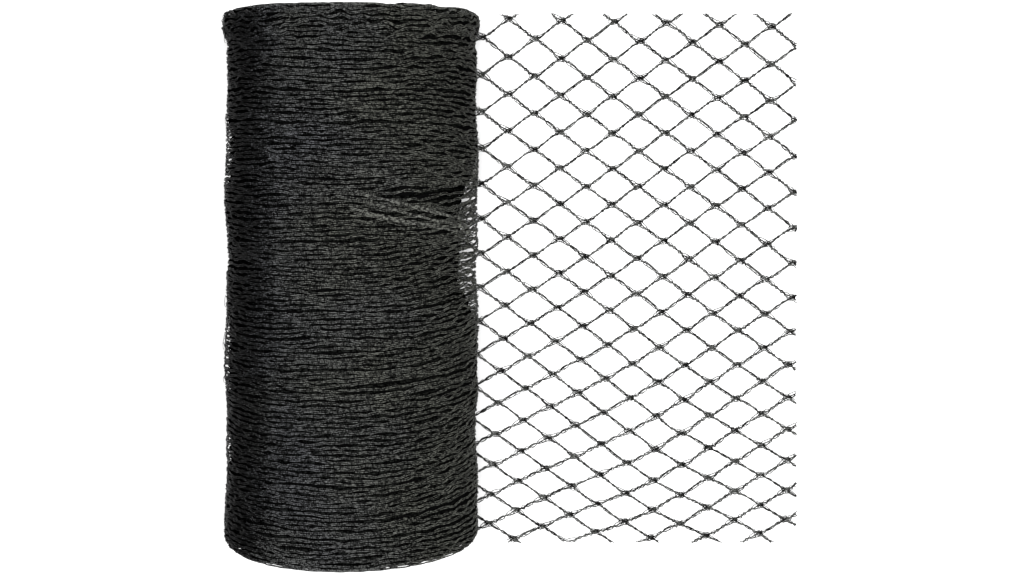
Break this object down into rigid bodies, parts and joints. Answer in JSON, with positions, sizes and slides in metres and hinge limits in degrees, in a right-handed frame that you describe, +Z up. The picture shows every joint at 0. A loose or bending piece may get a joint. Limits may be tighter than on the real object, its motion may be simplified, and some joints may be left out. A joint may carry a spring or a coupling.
{
  "type": "roll of bird netting",
  "caption": "Roll of black knitted diamond-mesh bird netting lying on its side, with its loose end spread flat on the floor.",
  "frame": {"origin": "on the floor, under the middle of the roll and its spread loose end together", "axes": "+Z up, +Y along the roll's axis, +X from the roll towards the free edge of the loose end"},
  "size_m": [0.3534, 0.3386, 0.1491],
  "materials": {
    "netting": "knitted black polyethylene thread with a dull sheen"
  },
  "bodies": {
    "root": {"netting_roll": "netting", "loose_net": "netting"}
  },
  "joints": []
}
